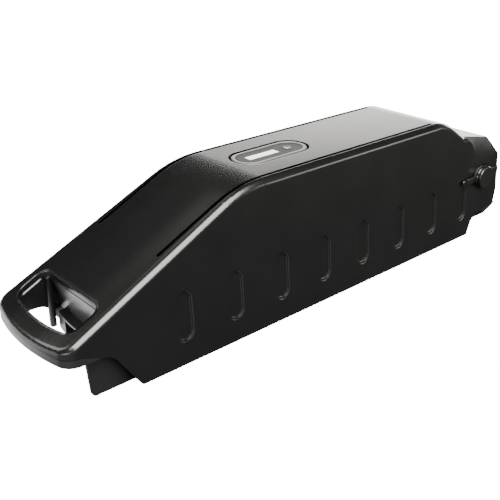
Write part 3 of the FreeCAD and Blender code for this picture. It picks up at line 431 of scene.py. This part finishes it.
class Surface:
    """Numpy surfaces made into closed meshes."""

    @staticmethod
    def lathe(name: str, profile: np.ndarray, centre: tuple, axis: int,
              steps: int = 96) -> bpy.types.Object:
        """Turn a profile about a line through centre.

        Args:
            name: The piece's name.
            profile: Rows of radius and place along the axis, with the first and last radius zero.
            centre: A point on the line.
            axis: Number of the axis the line runs along.
            steps: Number of steps round.

        Returns:
            The piece: each inner row becomes a ring, radius times the cosine and sine of the turn.
        """
        turn = np.linspace(0.0, 2 * np.pi, steps, endpoint=False)
        ring = profile[1:-1]
        first, second = [number for number in range(3) if number != axis]
        points = np.zeros((len(ring), steps, 3))
        points[:, :, first] = ring[:, :1] * np.cos(turn)
        points[:, :, second] = ring[:, :1] * np.sin(turn)
        points[:, :, axis] = ring[:, 1:]
        ends = np.zeros((2, 3))
        ends[:, axis] = profile[[0, -1], 1]
        return Surface.tube(name, points, ends, np.array(centre))

    @staticmethod
    def tube(name: str, rings: np.ndarray, ends: np.ndarray, centre: np.ndarray) -> bpy.types.Object:
        """Close rings of points with a pole at each end.

        Args:
            name: The piece's name.
            rings: Points by ring and by step round.
            ends: The two poles.
            centre: Moved to this point.

        Returns:
            The piece, with its faces outwards.
        """
        rows, steps = rings.shape[:2]
        index = np.arange(rows * steps).reshape(rows, steps)
        after = np.roll(index, -1, axis=1)
        quads = np.stack([index[:-1], after[:-1], after[1:], index[1:]], axis=-1).reshape(-1, 4)
        poles = [rows * steps, rows * steps + 1]
        low = np.stack([after[0], index[0], np.full(steps, poles[0])], axis=-1)
        high = np.stack([index[-1], after[-1], np.full(steps, poles[1])], axis=-1)
        points = np.vstack([rings.reshape(-1, 3), ends]) + centre
        return Surface.mesh(name, points, quads.tolist() + low.tolist() + high.tolist())

    @staticmethod
    def hoop(name: str, path: np.ndarray, outward: np.ndarray, section: np.ndarray) -> bpy.types.Object:
        """Carry a closed section round a closed flat path.

        Args:
            name: The piece's name.
            path: Points of the path in X and Y.
            outward: The path's outward direction at each point.
            section: Rows of distance outwards and height.

        Returns:
            The piece: path plus outward times distance, at each height.
        """
        flat = path[:, None, :] + outward[:, None, :] * section[None, :, :1]
        height = np.broadcast_to(section[None, :, 1:], (len(path), len(section), 1))
        points = np.concatenate([flat, height], axis=2)
        rows, steps = points.shape[:2]
        index = np.arange(rows * steps).reshape(rows, steps)
        right, up = np.roll(index, -1, axis=0), np.roll(index, -1, axis=1)
        both = np.roll(right, -1, axis=1)
        quads = np.stack([index, right, both, up], axis=-1).reshape(-1, 4)
        return Surface.mesh(name, points.reshape(-1, 3), quads.tolist())

    @staticmethod
    def mesh(name: str, points: np.ndarray, faces: list) -> bpy.types.Object:
        """Make a smooth piece from points and faces, with its faces turned outwards."""
        data = bpy.data.meshes.new(name)
        data.from_pydata(points.tolist(), [], faces)
        work = bmesh.new()
        work.from_mesh(data)
        bmesh.ops.recalc_face_normals(work, faces=work.faces)
        work.to_mesh(data)
        work.free()
        data.polygons.foreach_set("use_smooth", np.ones(len(data.polygons), bool))
        piece = bpy.data.objects.new(name, data)
        bpy.context.scene.collection.objects.link(piece)
        return piece

    @staticmethod
    def stadium(half: float, radius: float, middle: float, steps: int = 64) -> tuple[np.ndarray, np.ndarray]:
        """The outline of a stadium along X and its outward directions."""
        turn = np.linspace(-np.pi / 2, np.pi / 2, steps)
        right = np.stack([np.cos(turn), np.sin(turn)], axis=-1)
        outward = np.vstack([right, -right])
        shift = np.zeros_like(outward)
        shift[:steps, 0] = half - radius
        shift[steps:, 0] = radius - half
        return outward * radius + shift + np.array([middle, 0.0]), outward

    @staticmethod
    def rounded_section(low: tuple, high: tuple, radius: float, steps: int = 6) -> np.ndarray:
        """A rectangle with round corners as rows of across and up."""
        turn = np.linspace(0.0, np.pi / 2, steps)
        parts = []
        for number, (across, up) in enumerate(((high[0], high[1]), (low[0], high[1]), (low[0], low[1]),
                                               (high[0], low[1]))):
            angle = turn + number * np.pi / 2
            corner = np.array([across - radius * (1 if across == high[0] else -1),
                               up - radius * (1 if up == high[1] else -1)])
            parts.append(corner + radius * np.stack([np.cos(angle), np.sin(angle)], axis=-1))
        return np.vstack(parts)


@dataclass
class Moulding:
    """A large moulded part: its CAD mesh, merged and smoothed with its flat faces kept flat.

    Attributes:
        node: The CAD node it stands for.
        finish: Its finish.
        relief: Whether the case's rims are shaded in.
    """

    node: str
    finish: Finish
    relief: bool = False

    def build(self, painter: Painter) -> None:
        """Make the piece and hide the node.

        Args:
            painter: Gives the piece its material.
        """
        source = frame["nodes"][self.node]
        data = source.data.copy()
        work = bmesh.new()
        work.from_mesh(data)
        bmesh.ops.remove_doubles(work, verts=work.verts, dist=2e-6)
        bmesh.ops.dissolve_degenerate(work, edges=work.edges, dist=1e-7)
        for edge in work.edges:
            edge.smooth = len(edge.link_faces) == 2 and edge.calc_face_angle() < SHARP
        for face in work.faces:
            face.smooth = True
        work.to_mesh(data)
        work.free()
        piece = bpy.data.objects.new(self.node + "_skin", data)
        bpy.context.scene.collection.objects.link(piece)
        weigh = piece.modifiers.new("flat_faces", "WEIGHTED_NORMAL")
        weigh.keep_sharp = True
        weigh.mode = "FACE_AREA_WITH_ANGLE"
        weigh.weight = 50
        painter.paint(piece, self.finish, self.relief)
        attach(piece, "root")
        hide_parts(self.node)
        log.info("%s has %d faces", piece.name, len(data.polygons))


@dataclass
class Panel:
    """The oval panel on top: its ring and its button."""

    ring: Finish
    button: Finish

    def build(self, painter: Painter) -> None:
        """Make the ring and the button."""
        path, outward = Surface.stadium(28.9 * MM, 11.65 * MM, Relief.PANEL_X)
        section = Surface.rounded_section((-2.45 * MM, 94.25 * MM), (-0.05 * MM, 95.45 * MM), 0.45 * MM)
        ring = Surface.hoop("panel_ring", path, outward, section)
        painter.paint(ring, self.ring)
        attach(ring, "root")
        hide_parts("panel_bezel")
        turn = np.linspace(0.0, np.pi / 2, 8)
        rim = np.stack([2.6 * MM + 0.38 * MM * np.sin(turn), 95.05 * MM + 0.38 * MM * np.cos(turn)], axis=-1)
        dish = np.array([[0.0, 95.3], [1.0, 95.31], [1.9, 95.36]]) * MM
        foot = np.array([[2.98, 94.4], [1.6, 94.38], [1.6, 93.2], [0.0, 93.2]]) * MM
        button = Surface.lathe("button_top", np.vstack([dish, rim, foot]), (-0.8 * MM, 0.0, 0.0), 2)
        painter.paint(button, self.button)
        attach(button, "button")
        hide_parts("power_button")
        log.info("panel ring and button made")


@dataclass
class InletCap:
    """The rubber cap over the charging inlet, its strap and the strap's stud."""

    finish: Finish

    def build(self, painter: Painter) -> None:
        """Make the cap, strap and stud."""
        centre = (172.2 * MM, 0.0, 44.5 * MM)
        turn = np.linspace(0.0, np.pi / 2, 9)
        edge = np.stack([7.7 * MM + 0.95 * MM * np.sin(turn), -44.05 * MM - 0.95 * MM * np.cos(turn)],
                        axis=-1)
        face = np.array([[0.0, -44.75], [3.0, -44.75], [5.2, -44.78], [6.3, -44.95]]) * MM
        side = np.array([[8.65, -42.9], [8.3, -42.6], [8.3, -42.2], [8.65, -41.9], [8.65, -40.8],
                         [8.2, -40.45], [2.6, -40.45], [2.6, -38.3], [2.2, -38.05], [0.0, -38.05]]) * MM
        cap = Surface.lathe("inlet_cap", np.vstack([face, edge, side]), centre, 1, 128)
        tab = self.bar("cap_tab", (176.0, 187.4), (44.9, 51.2), (-44.6, -42.9), 0.8)
        for piece in (cap, tab):
            painter.paint(piece, self.finish)
            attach(piece, "cap")
        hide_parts("charge_cap")
        strap = self.bar("inlet_strap", (151.4, 164.6), (42.1, 46.9), (-41.75, -40.45), 0.55)
        painter.paint(strap, self.finish)
        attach(strap, "cap")
        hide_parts("cap_strap")
        stud_edge = np.stack([1.7 * MM + 0.65 * MM * np.sin(turn), -41.1 * MM - 0.65 * MM * np.cos(turn)],
                             axis=-1)
        stud = Surface.lathe("strap_stud", np.vstack([
            np.array([[0.0, -41.8]]) * MM, stud_edge,
            np.array([[2.35, -40.4], [1.5, -40.35], [1.5, -34.5], [0.0, -34.5]]) * MM]),
            (148.4 * MM, 0.0, 44.5 * MM), 1)
        painter.paint(stud, self.finish)
        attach(stud, "root")
        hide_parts("strap_anchor")
        log.info("inlet cap, tab, strap and stud made")

    @staticmethod
    def bar(name: str, along: tuple, up: tuple, through: tuple, radius: float) -> bpy.types.Object:
        """A short bar along X with a rounded section, closed by a shrinking row at each end.

        Args:
            name: The piece's name.
            along: Its ends in X, in millimetres.
            up: Its lowest and highest Z.
            through: Its lowest and highest Y.
            radius: Radius of its edges.

        Returns:
            The piece.
        """
        section = Surface.rounded_section((through[0], up[0]), (through[1], up[1]), radius)
        middle = section.mean(axis=0)
        turn = np.linspace(0.0, np.pi / 2, 6)
        inset = radius * (1.0 - np.concatenate([np.sin(turn), np.sin(turn)[::-1]]))
        x = np.concatenate([along[0] + radius * (1 - np.cos(turn)),
                            along[1] - radius * (1 - np.cos(turn))[::-1]])
        half = (section.max(axis=0) - section.min(axis=0)) / 2
        share = 1.0 - inset[:, None] / half[None, :]
        flat = middle + (section[None] - middle) * share[:, None, :]
        rings = np.concatenate([np.broadcast_to(x[:, None, None], (*flat.shape[:2], 1)), flat], axis=2)
        ends = np.array([[along[0], *middle], [along[1], *middle]])
        return Surface.tube(name, rings * MM, ends * MM, np.zeros(3))


@dataclass(frozen=True)
class Lamp:
    """A soft rectangular light.

    Attributes:
        name: The light's name.
        spot: Where it stands.
        target: The point it faces.
        size: Its width and height.
        power: Its power in watts.
    """

    name: str
    spot: tuple[float, float, float]
    target: tuple[float, float, float]
    size: tuple[float, float]
    power: float

    def build(self) -> None:
        """Make the light and turn it to its target."""
        data = bpy.data.lights.new(self.name, "AREA")
        data.shape = "RECTANGLE"
        data.size, data.size_y = self.size
        data.energy = self.power
        data.color = LAMP_COLOUR
        lamp = bpy.data.objects.new(self.name, data)
        lamp.location = self.spot
        lamp.rotation_euler = (Vector(self.target) - Vector(self.spot)).to_track_quat("-Z", "Y").to_euler()
        lamp.visible_camera = False
        bpy.context.scene.collection.objects.link(lamp)


@dataclass
class Studio:
    """Floor, lights and camera.

    Attributes:
        lamps: The lights, in the order they are made.
    """

    lamps: tuple[Lamp, ...]

    def build(self) -> None:
        """Make the whole set."""
        self.floor()
        self.world()
        for lamp in self.lamps:
            lamp.build()
        self.camera()

    @staticmethod
    def floor() -> None:
        """A pale floor that shows near white. To everything else it is dark, except for painted pools of light
        behind the pack and to its left, which glow and show only in reflections.
        """
        data = bpy.data.meshes.new("floor")
        half, low = FLOOR_HALF, FLOOR_Z
        data.from_pydata([(-half, -half, low), (half, -half, low), (half, half, low), (-half, half, low)], [],
                         [(0, 1, 2, 3)])
        floor = bpy.data.objects.new("floor", data)
        bpy.context.scene.collection.objects.link(floor)
        material = bpy.data.materials.new("pale_floor")
        material.use_nodes = True
        tree = material.node_tree
        shader = tree.nodes["Principled BSDF"]
        path = tree.nodes.new("ShaderNodeLightPath")
        seen = Wire(tree, path.outputs["Is Camera Ray"])
        place = Coordinates.of(tree)
        # Painted light: the floor glows, for reflections only, where lamps would light it behind the pack and
        # to its left. The darker floor in front stands for the pack's shadow.
        behind = place.y.ramp(-0.035, 0.05) * 2.4
        left = (-place.x).ramp(0.17, 0.26) * 0.4
        tree.links.new(seen.mix((0.03, 0.03, 0.03), (0.9, 0.9, 0.9)).socket, shader.inputs["Base Color"])
        glow = seen * 16.0 + (1.0 - seen) * behind.at_least(left)
        tree.links.new(glow.socket, shader.inputs["Emission Strength"])
        shader.inputs["Emission Color"].default_value = (1.0, 1.0, 1.0, 1.0)
        shader.inputs["Roughness"].default_value = 0.9
        shader.inputs["Specular IOR Level"].default_value = 0.0
        data.materials.append(material)

    @staticmethod
    def world() -> None:
        """A backdrop that is white to the camera and dim to everything else."""
        world = bpy.data.worlds.new("studio")
        bpy.context.scene.world = world
        world.use_nodes = True
        tree = world.node_tree
        path = tree.nodes.new("ShaderNodeLightPath")
        seen = Wire(tree, path.outputs["Is Camera Ray"])
        back = tree.nodes["Background"]
        tree.links.new(seen.mix((0.03, 0.031, 0.032), (1.0, 1.0, 1.0)).socket, back.inputs["Color"])
        tree.links.new((seen * 15.0 + 1.0).socket, back.inputs["Strength"])

    @staticmethod
    def camera() -> None:
        """The camera above the handle end, looking along the pack."""
        data = bpy.data.cameras.new("camera")
        data.lens, data.sensor_width = 56.12, 36.0
        data.clip_start, data.clip_end = 0.01, 50.0
        camera = bpy.data.objects.new("camera", data)
        camera.location = (-0.3429, -0.3511, 0.2541)
        camera.rotation_euler = Euler((math.radians(90.0 - 25.48), 0.0, math.radians(-41.42)))
        bpy.context.scene.collection.objects.link(camera)
        bpy.context.scene.camera = camera


CASE = Finish("case_plastic", Family.MOULDED, (0.002, 0.0022, 0.0022), 0.255, grain=2200.0, relief=0.6e-7)
TRAY = Finish("tray_plastic", Family.MOULDED, (0.005, 0.005, 0.0053), 0.32, grain=2000.0, relief=1.0e-6)
RUBBER = Finish("black_rubber", Family.RUBBER, (0.004, 0.004, 0.004), 0.24, grain=900.0, relief=1.5e-6)
RING = Finish("panel_ring", Family.MOULDED, (0.05, 0.05, 0.052), 0.3, relief=1e-7)
LENS = Finish("panel_lens", Family.MOULDED, (0.01, 0.0105, 0.011), 0.5, 1.0, relief=1e-7)
BUTTON = Finish("button_plastic", Family.MOULDED, (0.035, 0.035, 0.037), 0.25, relief=3e-7)
STEEL = Finish("zinc_steel", Family.METAL, (0.55, 0.55, 0.56), 0.32, 1.0)
OTHERS = (
    Finish("gasket_silicone", Family.RUBBER, (0.16, 0.16, 0.17), 0.6),
    Finish("window_white", Family.MOULDED, (0.78, 0.79, 0.8), 0.25, relief=3e-7),
    Finish("holder_plastic", Family.MOULDED, (0.02, 0.02, 0.021), 0.5),
    Finish("cell_sleeve", Family.SLEEVE, (0.03, 0.24, 0.27), 0.3, coat=0.3),
    Finish("nickel", Family.METAL, (0.62, 0.6, 0.56), 0.28, 1.0),
    Finish("insulating_paper", Family.RUBBER, (0.25, 0.31, 0.26), 0.8),
    Finish("foam", Family.RUBBER, (0.06, 0.06, 0.06), 0.9, grain=500.0, relief=4e-5),
    Finish("board", Family.BOARD, (0.012, 0.09, 0.035), 0.3, coat=0.4),
    Finish("chip", Family.MOULDED, (0.012, 0.012, 0.012), 0.55),
    Finish("heatsink", Family.METAL, (0.72, 0.72, 0.74), 0.35, 1.0),
    Finish("header_white", Family.MOULDED, (0.7, 0.68, 0.62), 0.45),
    Finish("led_green", Family.MOULDED, (0.25, 0.62, 0.26), 0.3),
    Finish("brass_contact", Family.METAL, (0.7, 0.52, 0.22), 0.25, 1.0),
    Finish("connector_plastic", Family.MOULDED, (0.02, 0.02, 0.02), 0.5),
    Finish("red_lead", Family.RUBBER, (0.42, 0.015, 0.015), 0.4),
    Finish("black_lead", Family.RUBBER, (0.014, 0.014, 0.014), 0.4),
    Finish("fuse_glass", Family.MOULDED, (0.66, 0.62, 0.52), 0.35),
)

LAMP_COLOUR = (1.0, 0.985, 0.945)
LAMPS = (
    Lamp("back_box", (1.3, 1.45, 0.34), (0.05, 0.0, 0.07), (1.9, 0.62), 30.0),
    Lamp("crown_box", (-0.12, 0.55, 1.0), (-0.1, 0.0, 0.06), (0.5, 0.3), 1.0),
    Lamp("key_box", (-0.17, -0.73, 0.9), (-0.12, -0.04, 0.06), (0.8, 1.2), 82.0),
    Lamp("corner_box", (-0.62, -0.5, 0.95), (-0.17, -0.02, 0.05), (0.3, 0.3), 9.0),
    Lamp("low_box", (-1.0, -0.45, 0.12), (0.0, 0.0, 0.03), (0.7, 0.2), 6.0),
    Lamp("right_box", (0.95, -0.95, 0.2), (0.1, 0.0, 0.05), (0.5, 0.3), 4.0),
    Lamp("end_box", (1.5, 0.2, 0.3), (0.15, 0.0, 0.06), (0.5, 0.3), 9.0),
    Lamp("hole_box", (-0.52, 0.3, 0.42), (-0.155, -0.01, 0.03), (0.3, 0.3), 2.2),
)


def paint_frame(painter: Painter) -> None:
    """Give every CAD node that still shows the finish of its slot."""
    finishes = {finish.slot: finish for finish in (CASE, TRAY, RUBBER, RING, LENS, BUTTON, STEEL, *OTHERS)}
    for entry in frame["record"]["subparts"]:
        painter.paint(frame["nodes"][entry["node"]], finishes[entry["material_slot"]])


def main() -> None:
    """Build the looks."""
    painter = Painter()
    paint_frame(painter)
    Moulding("upper_case", CASE, relief=True).build(painter)
    Moulding("handle_band", TRAY).build(painter)
    Moulding("base_tray", TRAY).build(painter)
    Panel(RING, BUTTON).build(painter)
    InletCap(RUBBER).build(painter)
    Studio(LAMPS).build()


if __name__ == "__main__":
    logging.basicConfig(level=logging.INFO)
    main()
